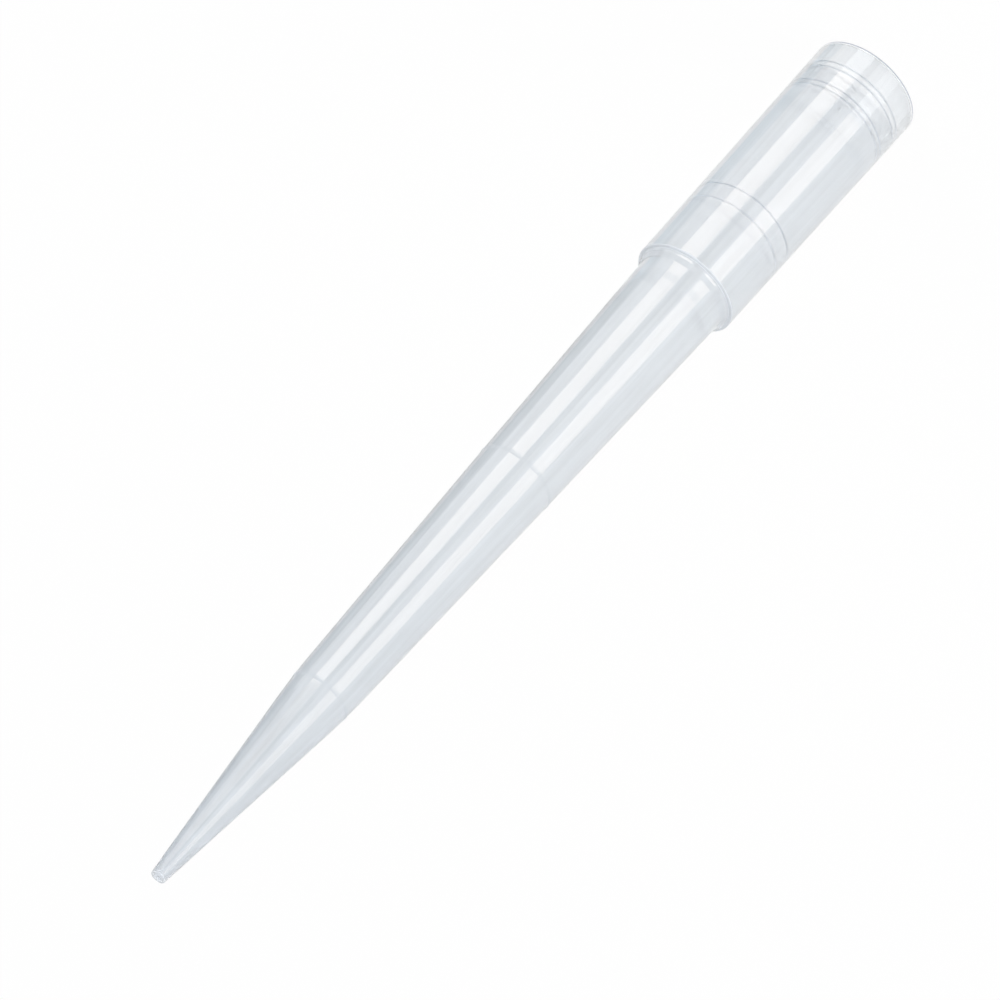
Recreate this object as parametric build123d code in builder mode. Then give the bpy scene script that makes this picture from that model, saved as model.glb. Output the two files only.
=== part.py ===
from build123d import *
import math
import os

# A long 1000 microlitre pipette tip, moulded in one piece from clear polypropylene.
# It stands on its open mouth: the origin is the centre of the mouth rim, and +Z runs
# along the axis to the orifice.  All sizes are in millimetres.

# Lengths along the axis, from the mouth to the orifice
collar_length = 23.7          # mouth rim to the ledge that hangs in a rack
upper_body_length = 21.6      # ledge to the 500 microlitre ring
lower_body_length = 23.8      # 500 to the 100 microlitre ring
nozzle_length = 18.9          # 100 microlitre ring to the orifice

# Mouth, and the band inside it that grips the pipette's nose cone
seal_diameter = 7.44
seal_length = 1.6
mouth_depth = 2.0             # plain counterbore inside the rim
mouth_clearance = 0.08        # radial, from the gripping band out to the counterbore
lead_in_length = 0.5          # chamfer from the counterbore to the gripping band
relief_clearance = 0.03       # radial, from the gripping band out to the socket
relief_length = 0.5

# Socket behind the gripping band
guide_depth = 16.2            # mouth rim to the start of the guide step
guide_length = 1.5
guide_step = 0.07             # radial
socket_draft = 1.25           # degrees
seat_length = 1.6             # chamfer that closes the socket down to the body's bore
seat_step = 0.078             # radial
seat_lead = 0.4               # the seat starts this far before the ledge

# Bore of the body and nozzle
upper_ring_bore = 5.39
lower_ring_bore = 3.98
orifice_diameter = 0.58

# Walls, measured square to the axis
rim_wall = 0.68
body_wall = 0.45
orifice_wall = 0.3

# Outside of the collar and its stepped ledge
collar_draft = 0.54           # degrees
step_width = 0.28             # radial, from the body out to the first step
step_land = 0.4               # straight part of the first step
step_slope = 0.25             # length of its sloped side

# Rounds, and the raised graduation rings
rim_round = 0.08
ledge_round = 0.06
step_round = 0.12
orifice_round = 0.1
nozzle_blend_radius = 60.0
ring_width = 0.5
ring_height = 0.03

# Stations along the axis
ledge_z = collar_length
upper_ring_z = ledge_z + upper_body_length
lower_ring_z = upper_ring_z + lower_body_length
orifice_z = lower_ring_z + nozzle_length
lead_in_z = mouth_depth + lead_in_length
seal_end_z = lead_in_z + seal_length
socket_z = seal_end_z + relief_length
guide_end_z = guide_depth + guide_length
seat_z = ledge_z - seat_lead
seat_end_z = seat_z + seat_length
step_land_z = ledge_z + step_land
body_z = step_land_z + step_slope

# Bore radii at those stations
seal_r = seal_diameter / 2
mouth_r = seal_r + mouth_clearance
socket_r = seal_r + relief_clearance
socket_taper = math.tan(math.radians(socket_draft))
guide_r = socket_r - (guide_depth - socket_z) * socket_taper
guide_end_r = guide_r - guide_step
seat_r = guide_end_r - (seat_z - guide_end_z) * socket_taper
bore_r = seat_r - seat_step
upper_ring_bore_r = upper_ring_bore / 2
lower_ring_bore_r = lower_ring_bore / 2
orifice_r = orifice_diameter / 2

# Outside radii at those stations
rim_r = mouth_r + rim_wall
ledge_r = rim_r - collar_length * math.tan(math.radians(collar_draft))
body_r = bore_r + body_wall
step_r = body_r + step_width
upper_ring_r = upper_ring_bore_r + body_wall
lower_ring_r = lower_ring_bore_r + body_wall
orifice_outer_r = orifice_r + orifice_wall

# The blend between body and nozzle shaves this much off the corner under the lower ring
body_angle = math.atan((upper_ring_r - lower_ring_r) / lower_body_length)
nozzle_angle = math.atan((lower_ring_r - orifice_outer_r) / nozzle_length)
blend_drop = nozzle_blend_radius * (1 / math.cos((nozzle_angle - body_angle) / 2) - 1)

os.makedirs("parts", exist_ok=True)


def corners(outline, points):
    """The outline's corners that lie at the given points."""
    return [outline.vertices().sort_by_distance(point)[0] for point in points]


with BuildPart() as pipette_tip:
    with BuildSketch(Plane.XZ) as section:
        with BuildLine():
            outside = Polyline(
                (rim_r, 0),
                (ledge_r, ledge_z),
                (step_r, ledge_z),
                (step_r, step_land_z),
                (body_r, body_z),
                (upper_ring_r, upper_ring_z),
                (lower_ring_r, lower_ring_z),
                (orifice_outer_r, orifice_z),
            )
            inside = Polyline(
                (orifice_r, orifice_z),
                (lower_ring_bore_r, lower_ring_z),
                (upper_ring_bore_r, upper_ring_z),
                (bore_r, seat_end_z),
                (seat_r, seat_z),
                (guide_end_r, guide_end_z),
                (guide_r, guide_depth),
                (socket_r, socket_z),
                (seal_r, seal_end_z),
                (seal_r, lead_in_z),
                (mouth_r, mouth_depth),
                (mouth_r, 0),
            )
            Line(outside @ 1, inside @ 0)
            Line(inside @ 1, outside @ 0)
        make_face()

        fillet(corners(section, [(rim_r, 0), (mouth_r, 0)]), radius=rim_round)
        fillet(corners(section, [(ledge_r, ledge_z)]), radius=ledge_round)
        fillet(corners(section, [(step_r, step_land_z), (body_r, body_z)]), radius=step_round)
        fillet(corners(section, [(lower_ring_r, lower_ring_z)]), radius=nozzle_blend_radius)
        fillet(corners(section, [(orifice_outer_r, orifice_z)]), radius=orifice_round)

        # A graduation ring is a low rounded bead whose foot is sunk into the wall
        for ring_r, ring_z in [
            (upper_ring_r, upper_ring_z),
            (lower_ring_r - blend_drop, lower_ring_z),
        ]:
            with BuildLine():
                bead = ThreePointArc(
                    (ring_r - ring_height, ring_z - ring_width / 2),
                    (ring_r + ring_height, ring_z),
                    (ring_r - ring_height, ring_z + ring_width / 2),
                )
                Polyline(
                    bead @ 1,
                    (ring_r - body_wall / 2, ring_z + ring_width / 2),
                    (ring_r - body_wall / 2, ring_z - ring_width / 2),
                    bead @ 0,
                )
            make_face()
    revolve(axis=Axis.Z)

pipette_tip.part.label = "pipette_tip"
export_step(pipette_tip.part, "parts/pipette_tip.step")

print(f"length {orifice_z:.2f}, rim diameter {2 * rim_r:.2f}, ledge diameter {2 * ledge_r:.2f}")
print(f"volume {pipette_tip.part.volume:.1f} mm3")
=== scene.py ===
import math
from collections import namedtuple

import bpy
from mathutils import Matrix, Vector


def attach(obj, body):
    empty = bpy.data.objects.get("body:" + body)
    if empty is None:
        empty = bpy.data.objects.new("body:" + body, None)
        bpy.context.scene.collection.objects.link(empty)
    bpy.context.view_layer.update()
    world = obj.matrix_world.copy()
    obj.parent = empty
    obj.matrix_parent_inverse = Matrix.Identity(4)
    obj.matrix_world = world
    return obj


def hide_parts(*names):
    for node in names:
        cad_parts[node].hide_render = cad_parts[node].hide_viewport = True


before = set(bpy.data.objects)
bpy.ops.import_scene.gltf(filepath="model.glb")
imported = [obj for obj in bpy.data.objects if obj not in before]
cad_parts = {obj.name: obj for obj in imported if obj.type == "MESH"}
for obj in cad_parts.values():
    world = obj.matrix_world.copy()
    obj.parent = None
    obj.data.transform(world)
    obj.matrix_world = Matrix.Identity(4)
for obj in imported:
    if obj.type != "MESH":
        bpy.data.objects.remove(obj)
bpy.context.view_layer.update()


# ---------------------------------------------------------------------------------------------
# The tip.  One thin-walled tube of clear polypropylene, injection moulded between a turned
# cavity and a long polished core pin, so its whole wall is one section spun about the axis.
# It stands on its open mouth, and the ledge, seats and graduation rings are in that section.
# ---------------------------------------------------------------------------------------------
MM = 0.001

collar_length = 23.7
upper_body_length = 21.6
lower_body_length = 23.8
nozzle_length = 18.9
upper_ring_z = collar_length + upper_body_length
lower_ring_z = upper_ring_z + lower_body_length
orifice_z = lower_ring_z + nozzle_length

rim_r = 4.47
ledge_r = 4.25
step_r = 3.957
body_r = 3.677
step_land_z = 24.1
body_z = 24.35
upper_ring_r = 3.145
lower_ring_r = 2.44
orifice_outer_r = 0.59
blend_half_length = 2.04
ring_half_width = 0.177
ring_height = 0.03
witness_z = 25.8
witness_half_width = 0.32
witness_matt = 0.7
ring_matt = 1.0
mark_fade = 1.05
clouded_length = 4.0
clouded_steps = 10
clouded_milk = 0.4
# How far the nozzle's end is greyed by painted shade
clouded_grey_shade = 0.7
lip_length = 0.15

corner_clearance = 0.03
edge_reach = 0.09
longest_step = 2.5

clear_skin = (0.957, 0.982, 1.0, 1)
collar_milk = (0.93, 0.958, 0.992, 1)
nozzle_milk = (0.785, 0.827, 0.88, 1)
# Colour of the painted shade lines along the wall's corners
edge_shade_colour = (0.34, 0.38, 0.46, 1)
# Grey of the painted shade on the ledge and toward the nozzle's end
grey_shade_colour = (0.7, 0.735, 0.78, 1)
seen_through = 0.45
# Share of painted grey shade past which the wall grows opaque
solid_grey_shade = 0.7
streak_dark = 0.92
streak_light = 1.06
skin_roughness = (0.03, 0.08)
milk_roughness = 0.4
nozzle_tone_start = 0.45
flow_scale = 2600
flow_stretch = 0.02
ripple_depth = 0.02

# A corner of the section: its round, and from 0 to 1 how milky the wall is there instead of
# clear, how dark a painted shade line lies on it, how far painted grey shade tints it, and how matt
# its gloss is
Corner = namedtuple("Corner", "radius z round milk edge frost matt", defaults=(0.0,) * 5)

# The hollow, from the orifice back to the mouth: the tapered bore, the seat under the ledge,
# the guide step, the relief, the gripping band, and the counterbore behind the rim
# A bore corner's fifth number paints a dark line of shade along it, for the light its step bends
# away
bore = [
    Corner(0.29, orifice_z, 0.03, 1.0),
    Corner(1.99, lower_ring_z, 0.0, 1.0),
    Corner(2.695, upper_ring_z, 0.0, 1.0),
    Corner(3.227, 24.9, 0.5, 1.0),
    Corner(3.305, 23.3, 0.5, 1.0),
    Corner(3.427, 17.7, 1.0, 1.0, 0.4),
    Corner(3.497, 16.2, 1.0, 1.0, 0.55),
    Corner(3.75, 4.6, 0.25, 1.0, 0.45),
    Corner(3.72, 4.1, 0.4, 0.8, 0.65),
    Corner(3.72, 2.5, 0.15, 0.6, 0.6),
    Corner(3.80, 2.0, 0.15, 0.7, 0.5),
    Corner(3.80, 0.0, 0.08, 0.7),
]
bore = [corner._replace(matt=1.0) for corner in bore]

# The collar, clear between its rim and its ledge, and the step up to the body, with a painted
# dark shade line on the rim's corner and a painted grey shade on the ledge's corners
collar = [
    Corner(rim_r, 0.0, 0.08, 1.0, 1.0, matt=1.0),
    Corner((rim_r + ledge_r) / 2, collar_length / 2),
    Corner(ledge_r, collar_length, 0.06, 1.0, frost=1.0),
    Corner(step_r, collar_length, 0.03, 1.0, frost=1.0),
    Corner(step_r, step_land_z, 0.12),
    Corner(body_r, body_z, 0.3),
]


def along(start, end, share):
    """The value that lies that share of the way from start to end."""
    return start + (end - start) * share


def body_radius(z):
    """Outside radius of the body and nozzle at height z, with the soft bend at the lower ring."""
    body_slope = (lower_ring_r - upper_ring_r) / lower_body_length
    nozzle_slope = (orifice_outer_r - lower_ring_r) / nozzle_length
    if z < upper_ring_z:
        return along(body_r, upper_ring_r, (z - body_z) / (upper_ring_z - body_z))
    past = z - lower_ring_z
    if past > blend_half_length:
        return lower_ring_r + past * nozzle_slope
    radius = lower_ring_r + past * body_slope
    bend = max(past + blend_half_length, 0.0)
    return radius + bend * bend * (nozzle_slope - body_slope) / (4 * blend_half_length)


def body_points():
    """
    Corners up the outside of the body and nozzle: the matt witness band of the mould's parting, the
    graduation rings, the bend, and the nozzle's end, milkier by steps and greyed by painted shade.
    """
    marks = {
        witness_z - witness_half_width * mark_fade: {},
        witness_z - witness_half_width: {"matt": witness_matt},
        witness_z + witness_half_width: {"matt": witness_matt},
        witness_z + witness_half_width * mark_fade: {},
        orifice_z - lip_length: {"milk": 0.6, "frost": clouded_grey_shade, "matt": 1.0},
        orifice_z: {"milk": 0.8, "frost": clouded_grey_shade, "matt": 1.0, "round": 0.1},
    }
    for step in range(clouded_steps):
        share = step / clouded_steps
        clouded = {"milk": clouded_milk * share, "frost": clouded_grey_shade * share}
        marks[orifice_z - clouded_length * (1 - share)] = clouded
    for ring_z in (upper_ring_z, lower_ring_z):
        for share in (-1.0, -0.8, -0.5, -0.2, 0.2, 0.5, 0.8, 1.0):
            marks[ring_z + share * ring_half_width] = {"matt": ring_matt}
        for side in (-1, 1):
            marks[ring_z + side * mark_fade * ring_half_width] = {}
    for step in (-4, -3, -2, -1, 1, 2, 3, 4):
        marks[lower_ring_z + step * blend_half_length / 4] = {}
    points = []
    for z in sorted(marks):
        radius = body_radius(z)
        for ring_z in (upper_ring_z, lower_ring_z):
            radius += ring_height * max(1 - ((z - ring_z) / ring_half_width) ** 2, 0.0)
        points.append(Corner(radius, z, **marks[z]))
    return points


def round_reach(before, here, after):
    """How far along its two sides a round of radius 1 reaches from a corner."""
    arriving = Vector((here.radius - before.radius, here.z - before.z))
    leaving = Vector((after.radius - here.radius, after.z - here.z))
    return math.tan(arriving.angle(leaving) / 2)


def supported(corners):
    """
    The closed section with a point just clear of each corner's round, and long runs divided.
    A run is only as milky, as greyed by painted shade, or as matt as the less so of its two ends.
    """
    points = []
    count = len(corners)
    for i in range(count):
        before, here, after = corners[i - 1], corners[i], corners[(i + 1) % count]
        run = math.dist(here[:2], after[:2])
        points.append(here)
        start_clear = here.round * round_reach(before, here, after)
        start_clear += edge_reach if here.edge else corner_clearance
        end_clear = after.round * round_reach(here, after, corners[(i + 2) % count])
        end_clear += edge_reach if after.edge else corner_clearance
        if run < start_clear + end_clear + corner_clearance:
            continue
        steps = max(1, math.ceil((run - start_clear - end_clear) / longest_step))
        for step in range(steps + 1):
            reach = along(start_clear, run - end_clear, step / steps) / run
            radius = along(here.radius, after.radius, reach)
            height = along(here.z, after.z, reach)
            kept = {}
            for name in ("milk", "frost", "matt"):
                kept[name] = min(getattr(here, name), getattr(after, name))
            points.append(Corner(radius, height, **kept))
    return points


def turned_wall_tree():
    """Rounds the corners of a closed section, and spins it about the Z axis."""
    tree = bpy.data.node_groups.new("turned_wall", "GeometryNodeTree")
    face = tree.interface
    face.new_socket("Section", in_out="INPUT", socket_type="NodeSocketGeometry")
    face.new_socket("Segments", in_out="INPUT", socket_type="NodeSocketInt")
    face.new_socket("Round Steps", in_out="INPUT", socket_type="NodeSocketInt")
    face.new_socket("Arbor Radius", in_out="INPUT", socket_type="NodeSocketFloat")
    face.new_socket("Plastic", in_out="INPUT", socket_type="NodeSocketMaterial")
    face.new_socket("Wall", in_out="OUTPUT", socket_type="NodeSocketGeometry")
    node = tree.nodes.new
    link = tree.links.new
    given = node("NodeGroupInput")

    section = node("GeometryNodeMeshToCurve")
    link(given.outputs["Section"], section.inputs["Mesh"])
    radius = node("GeometryNodeInputNamedAttribute")
    radius.data_type = "FLOAT"
    radius.inputs["Name"].default_value = "corner_round"
    rounded = node("GeometryNodeFilletCurve")
    rounded.mode = "POLY"
    link(section.outputs["Curve"], rounded.inputs["Curve"])
    link(given.outputs["Round Steps"], rounded.inputs["Count"])
    link(radius.outputs["Attribute"], rounded.inputs["Radius"])

    # Along the arbor the profile's X points outwards and its Y points down
    inward = node("ShaderNodeMath")
    inward.operation = "MULTIPLY"
    inward.inputs[1].default_value = -1.0
    link(given.outputs["Arbor Radius"], inward.inputs[0])
    shift = node("ShaderNodeCombineXYZ")
    link(inward.outputs["Value"], shift.inputs["X"])
    laid = node("GeometryNodeTransform")
    laid.inputs["Rotation"].default_value = (math.radians(90), 0, 0)
    link(rounded.outputs["Curve"], laid.inputs["Geometry"])
    link(shift.outputs["Vector"], laid.inputs["Translation"])

    arbor = node("GeometryNodeCurvePrimitiveCircle")
    arbor.mode = "RADIUS"
    link(given.outputs["Segments"], arbor.inputs["Resolution"])
    link(given.outputs["Arbor Radius"], arbor.inputs["Radius"])
    upright = node("GeometryNodeSetCurveNormal")
    upright.mode = "Z_UP"
    link(arbor.outputs["Curve"], upright.inputs["Curve"])
    turned = node("GeometryNodeCurveToMesh")
    link(upright.outputs["Curve"], turned.inputs["Curve"])
    link(laid.outputs["Geometry"], turned.inputs["Profile Curve"])

    outward = node("GeometryNodeFlipFaces")
    link(turned.outputs["Mesh"], outward.inputs["Mesh"])
    smooth = node("GeometryNodeSetShadeSmooth")
    link(outward.outputs["Mesh"], smooth.inputs["Geometry"])
    whole = node("GeometryNodeRealizeInstances")
    link(smooth.outputs["Geometry"], whole.inputs["Geometry"])
    dressed = node("GeometryNodeSetMaterial")
    link(whole.outputs["Geometry"], dressed.inputs["Geometry"])
    link(given.outputs["Plastic"], dressed.inputs["Material"])
    made = node("NodeGroupOutput")
    link(dressed.outputs["Geometry"], made.inputs["Wall"])
    return tree


def clear_polypropylene():
    """Polypropylene, clear and glossy on its skin and milky on its bore, with flow streaks and
    painted shade.
    """
    material = bpy.data.materials.new("clear_polypropylene")
    material.use_nodes = True
    nodes = material.node_tree.nodes
    link = material.node_tree.links.new
    plastic = nodes["Principled BSDF"]
    plastic.inputs["IOR"].default_value = 1.49
    plastic.inputs["Coat Roughness"].default_value = 0.17

    def spread(source, low, high, start=0.0, end=1.0):
        """The source's run from start to end, spread over low to high."""
        node = nodes.new("ShaderNodeMapRange")
        node.inputs["From Min"].default_value = start
        node.inputs["From Max"].default_value = end
        node.inputs["To Min"].default_value = low
        node.inputs["To Max"].default_value = high
        link(source, node.inputs["Value"])
        return node.outputs["Result"]

    def tinted(weight, colour, over):
        """The colour laid over what is under it, by the weight."""
        node = nodes.new("ShaderNodeMix")
        node.data_type = "RGBA"
        link(weight, node.inputs[0])
        link(over, node.inputs[6])
        node.inputs[7].default_value = colour
        return node.outputs[2]

    def added(first, second):
        """The sum of two values, held between 0 and 1."""
        node = nodes.new("ShaderNodeMath")
        node.operation = "ADD"
        node.use_clamp = True
        link(first, node.inputs[0])
        link(second, node.inputs[1])
        return node.outputs["Value"]

    def carried(name):
        """A value that the section's points carry."""
        node = nodes.new("ShaderNodeAttribute")
        node.attribute_name = name
        return node.outputs["Fac"]

    place = nodes.new("ShaderNodeTexCoord")
    drawn = nodes.new("ShaderNodeMapping")
    drawn.inputs["Scale"].default_value = (1, 1, flow_stretch)
    link(place.outputs["Object"], drawn.inputs["Vector"])
    flow = nodes.new("ShaderNodeTexNoise")
    flow.inputs["Scale"].default_value = flow_scale
    flow.inputs["Detail"].default_value = 3
    link(drawn.outputs["Vector"], flow.inputs["Vector"])

    # The milky colour grades from the collar's tone to a darker one on the nozzle
    parts = nodes.new("ShaderNodeSeparateXYZ")
    link(place.outputs["Object"], parts.inputs["Vector"])
    milky = nodes.new("ShaderNodeValToRGB")
    milky.color_ramp.elements[0].position = nozzle_tone_start
    milky.color_ramp.elements[0].color = collar_milk
    milky.color_ramp.elements[1].color = nozzle_milk
    link(spread(parts.outputs["Z"], 0, 1, 0, orifice_z * MM), milky.inputs["Fac"])
    streaked = nodes.new("ShaderNodeHueSaturation")
    streak = spread(flow.outputs["Fac"], streak_dark, streak_light, 0.3, 0.7)
    link(streak, streaked.inputs["Value"])
    link(milky.outputs["Color"], streaked.inputs["Color"])

    milk = carried("milk")
    edge = carried("edge")
    frost = carried("frost")
    colour = nodes.new("ShaderNodeMix")
    colour.data_type = "RGBA"
    link(milk, colour.inputs[0])
    colour.inputs[6].default_value = clear_skin
    link(streaked.outputs["Color"], colour.inputs[7])
    # Painted shade: a grey tint where the points ask for it, then dark lines on the corners
    colour = tinted(frost, grey_shade_colour, colour.outputs[2])
    colour = tinted(edge, edge_shade_colour, colour)
    link(colour, plastic.inputs["Base Color"])

    link(spread(milk, 1, 0), plastic.inputs["Transmission Weight"])
    link(spread(carried("matt"), 1, 0), plastic.inputs["Coat Weight"])
    # The painted shade lines, and painted grey shade past its solid share, also make the wall more
    # opaque
    solid = added(edge, spread(frost, 0, 1, solid_grey_shade, 1))
    cover = added(spread(milk, 1, 1 - seen_through), solid)
    link(cover, plastic.inputs["Alpha"])
    sheen = added(spread(flow.outputs["Fac"], *skin_roughness), spread(milk, 0, milk_roughness))
    link(sheen, plastic.inputs["Roughness"])
    ripple = nodes.new("ShaderNodeBump")
    ripple.inputs["Strength"].default_value = 0.5
    ripple.inputs["Distance"].default_value = ripple_depth * MM
    link(flow.outputs["Fac"], ripple.inputs["Height"])
    link(ripple.outputs["Normal"], plastic.inputs["Coat Normal"])
    return material


corners = collar + body_points() + bore
section = supported(corners)
profile = bpy.data.meshes.new("tip_section")
profile.from_pydata(
    [(point.radius * MM, 0, point.z * MM) for point in section],
    [(i, (i + 1) % len(section)) for i in range(len(section))],
    [],
)
point_values = {
    "corner_round": [point.round * MM for point in section],
    "edge": [point.edge for point in section],
    "frost": [point.frost for point in section],
    "milk": [point.milk for point in section],
    "matt": [point.matt for point in section],
}
for name, values in point_values.items():
    attribute = profile.attributes.new(name, "FLOAT", "POINT")
    attribute.data.foreach_set("value", values)

shaper = bpy.data.objects.new("tip_shaper", profile)
bpy.context.scene.collection.objects.link(shaper)
turning = shaper.modifiers.new("turned", "NODES")
turning.node_group = turned_wall_tree()
settings = {
    "Segments": 256,
    "Round Steps": 5,
    "Arbor Radius": 2 * MM,
    "Plastic": clear_polypropylene(),
}
for socket in turning.node_group.interface.items_tree:
    if socket.name in settings:
        turning[socket.identifier] = settings[socket.name]

bpy.context.view_layer.update()
ready = shaper.evaluated_get(bpy.context.evaluated_depsgraph_get())
tip = bpy.data.objects.new("tip", bpy.data.meshes.new_from_object(ready))
bpy.context.scene.collection.objects.link(tip)
bpy.data.objects.remove(shaper)
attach(tip, "root")
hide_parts("pipette_tip")


# ---------------------------------------------------------------------------------------------
# The floor.  A plain white table top, far wider than the tip, that shows white to the camera,
# in gloss and through the plastic, and keeps a faint shadow.
# ---------------------------------------------------------------------------------------------
def seen_white(tree):
    """1 for rays that come from the camera, off gloss or through clear plastic, else 0."""
    path = tree.nodes.new("ShaderNodeLightPath")
    total = path.outputs["Is Camera Ray"]
    for ray in ("Is Glossy Ray", "Is Transmission Ray"):
        either = tree.nodes.new("ShaderNodeMath")
        either.operation = "MAXIMUM"
        tree.links.new(total, either.inputs[0])
        tree.links.new(path.outputs[ray], either.inputs[1])
        total = either.outputs["Value"]
    return total


floor_half = 3.0
floor_colour = (0.9, 0.9, 0.9, 1)
white_share = 0.97

floor_corners = [
    (-floor_half, -floor_half, 0),
    (floor_half, -floor_half, 0),
    (floor_half, floor_half, 0),
    (-floor_half, floor_half, 0),
]
floor_mesh = bpy.data.meshes.new("floor")
floor_mesh.from_pydata(floor_corners, [], [(0, 1, 2, 3)])
floor = bpy.data.objects.new("floor", floor_mesh)
bpy.context.scene.collection.objects.link(floor)
white_top = bpy.data.materials.new("white_top")
white_top.use_nodes = True
tree = white_top.node_tree
tree.nodes.remove(tree.nodes["Principled BSDF"])
matt = tree.nodes.new("ShaderNodeBsdfDiffuse")
matt.inputs["Color"].default_value = floor_colour
glow = tree.nodes.new("ShaderNodeEmission")
glow.inputs["Strength"].default_value = 1.0
share = tree.nodes.new("ShaderNodeMath")
share.operation = "MULTIPLY"
share.inputs[1].default_value = white_share
tree.links.new(seen_white(tree), share.inputs[0])
top = tree.nodes.new("ShaderNodeMixShader")
tree.links.new(share.outputs["Value"], top.inputs["Fac"])
tree.links.new(matt.outputs["BSDF"], top.inputs[1])
tree.links.new(glow.outputs["Emission"], top.inputs[2])
tree.links.new(top.outputs["Shader"], tree.nodes["Material Output"].inputs["Surface"])
floor_mesh.materials.append(white_top)


# ---------------------------------------------------------------------------------------------
# The light.  An even white studio with two large soft boxes, one to each side of the camera.
# Light panels and dark cards lie flat on the floor round the foot of the tip, and its gloss
# draws them out into upright bands.
# ---------------------------------------------------------------------------------------------
studio_level = 0.6
white_level = 1.0

world = bpy.data.worlds.new("studio")
bpy.context.scene.world = world
world.use_nodes = True
tree = world.node_tree
air = tree.nodes["Background"]
air.inputs["Color"].default_value = (1, 1, 1, 1)
level = tree.nodes.new("ShaderNodeMapRange")
level.inputs["To Min"].default_value = studio_level
level.inputs["To Max"].default_value = white_level
tree.links.new(seen_white(tree), level.inputs["Value"])
tree.links.new(level.outputs["Result"], air.inputs["Strength"])


def soft_lamp(name, azimuth, elevation, distance, size, power):
    """A square soft box that faces the middle of the tip, and leaves no glint in its gloss."""
    lamp = bpy.data.lights.new(name, "AREA")
    lamp.energy = power
    lamp.shape = "SQUARE"
    lamp.size = size
    holder = bpy.data.objects.new(name, lamp)
    bpy.context.scene.collection.objects.link(holder)
    a, e = math.radians(azimuth), math.radians(elevation)
    back = Vector((math.sin(a) * math.cos(e), -math.cos(a) * math.cos(e), math.sin(e)))
    holder.location = Vector((0, 0, orifice_z / 2 * MM)) + back * distance
    holder.rotation_mode = "QUATERNION"
    holder.rotation_quaternion = back.to_track_quat("Z", "Y")
    holder.visible_camera = False
    holder.visible_glossy = False


soft_lamp("key_lamp", azimuth=-50, elevation=25, distance=1.2, size=0.8, power=8)
soft_lamp("fill_lamp", azimuth=60, elevation=25, distance=1.2, size=0.8, power=6)


panel_lift = 0.1
panel_gap = 0.05
panel_steps = 16
white_light = (1, 1, 1, 1)
warm_light = (1, 0.92, 0.85, 1)
cool_light = (0.75, 0.9, 1, 1)


def panel(name, start, end, near, far, strength, colour=white_light):
    """
    A light panel or dark card that lies on the floor, and shows in the wall's gloss as an upright
    band.  It lies between two angles, and from near to far out from the foot of the wall, whose
    reflections turn twice as far as the wall does.
    """
    mesh = bpy.data.meshes.new(name)
    steps = panel_steps
    points = []
    for r in (near, far):
        for i in range(steps + 1):
            a = math.radians(along(start, end, i / steps))
            foot = Vector((math.sin(a / 2), -math.cos(a / 2), 0)) * (rim_r + panel_gap) * MM
            points.append(foot + Vector((math.sin(a) * r, -math.cos(a) * r, panel_lift * MM)))
    faces = [(i, i + 1, steps + 2 + i, steps + 1 + i) for i in range(steps)]
    mesh.from_pydata(points, [], faces)
    holder = bpy.data.objects.new(name, mesh)
    bpy.context.scene.collection.objects.link(holder)
    holder.visible_camera = False
    holder.visible_shadow = False
    holder.visible_diffuse = False
    holder.visible_transmission = False
    material = bpy.data.materials.new(name)
    material.use_nodes = True
    tree = material.node_tree
    tree.nodes.remove(tree.nodes["Principled BSDF"])
    glow = tree.nodes.new("ShaderNodeEmission")
    glow.inputs["Strength"].default_value = strength
    glow.inputs["Color"].default_value = colour
    tree.links.new(glow.outputs["Emission"], tree.nodes["Material Output"].inputs["Surface"])
    mesh.materials.append(material)


panel("left_panel_foot", 23.5, 60.5, 0, 0.0045, 2.0)
panel("left_panel", 23.5, 60.5, 0.0045, 0.2, 3.1, warm_light)
panel("left_panel_far", 23.5, 60.5, 0.2, 0.6, 1.25, warm_light)
panel("right_panel_foot", -46.5, -12, 0, 0.0045, 1.5)
panel("right_panel_near", -46.5, -12, 0.0045, 0.0085, 2.2)
panel("right_panel", -46.5, -12, 0.0085, 0.2, 3.0, warm_light)
panel("right_panel_far", -46.5, -12, 0.2, 0.6, 2.4, warm_light)
panel("middle_card", 8, 21, 0, 0.6, 0.4)
panel("left_card", 97, 135, 0, 0.048, 0.65, cool_light)
panel("left_card_middle", 97, 135, 0.048, 0.2, 0.3, cool_light)
panel("left_card_far", 84, 135, 0.2, 0.6, 0.3, cool_light)
panel("left_card_outer", 135, 178, 0, 0.048, 0.8)
panel("left_card_outer_far", 135, 178, 0.048, 0.6, 0.6)
panel("right_card", -128, -60, 0, 0.6, 0.9)
panel("right_card_outer", -178, -128, 0, 0.6, 0.8)


# ---------------------------------------------------------------------------------------------
# The camera.  It looks down on the standing tip through a long lens, and is rolled so that the
# tip lies across the frame, from its mouth at the upper right to its orifice at the lower left.
# ---------------------------------------------------------------------------------------------
tilt = math.radians(28.5)
roll = math.radians(-138.2)
distance = 0.528
aside = Vector((-1.82 * MM, -2.41 * MM, 0))

camera_data = bpy.data.cameras.new("camera")
camera_data.lens = 261
camera_data.sensor_width = 36
camera_data.clip_start = 0.01
camera_data.clip_end = 20
camera = bpy.data.objects.new("camera", camera_data)
bpy.context.scene.collection.objects.link(camera)
back = Vector((0, -math.cos(tilt), math.sin(tilt)))
upright = Matrix((Vector((1, 0, 0)), Vector((0, math.sin(tilt), math.cos(tilt))), back)).transposed()
turned = upright @ Matrix.Rotation(roll, 3, "Z")
camera.rotation_mode = "QUATERNION"
camera.rotation_quaternion = turned.to_quaternion()
aim = Vector((0, 0, orifice_z / 2 * MM))
camera.location = aim + back * distance + turned @ aside
bpy.context.scene.camera = camera

scene = bpy.context.scene
scene.view_settings.view_transform = "Standard"
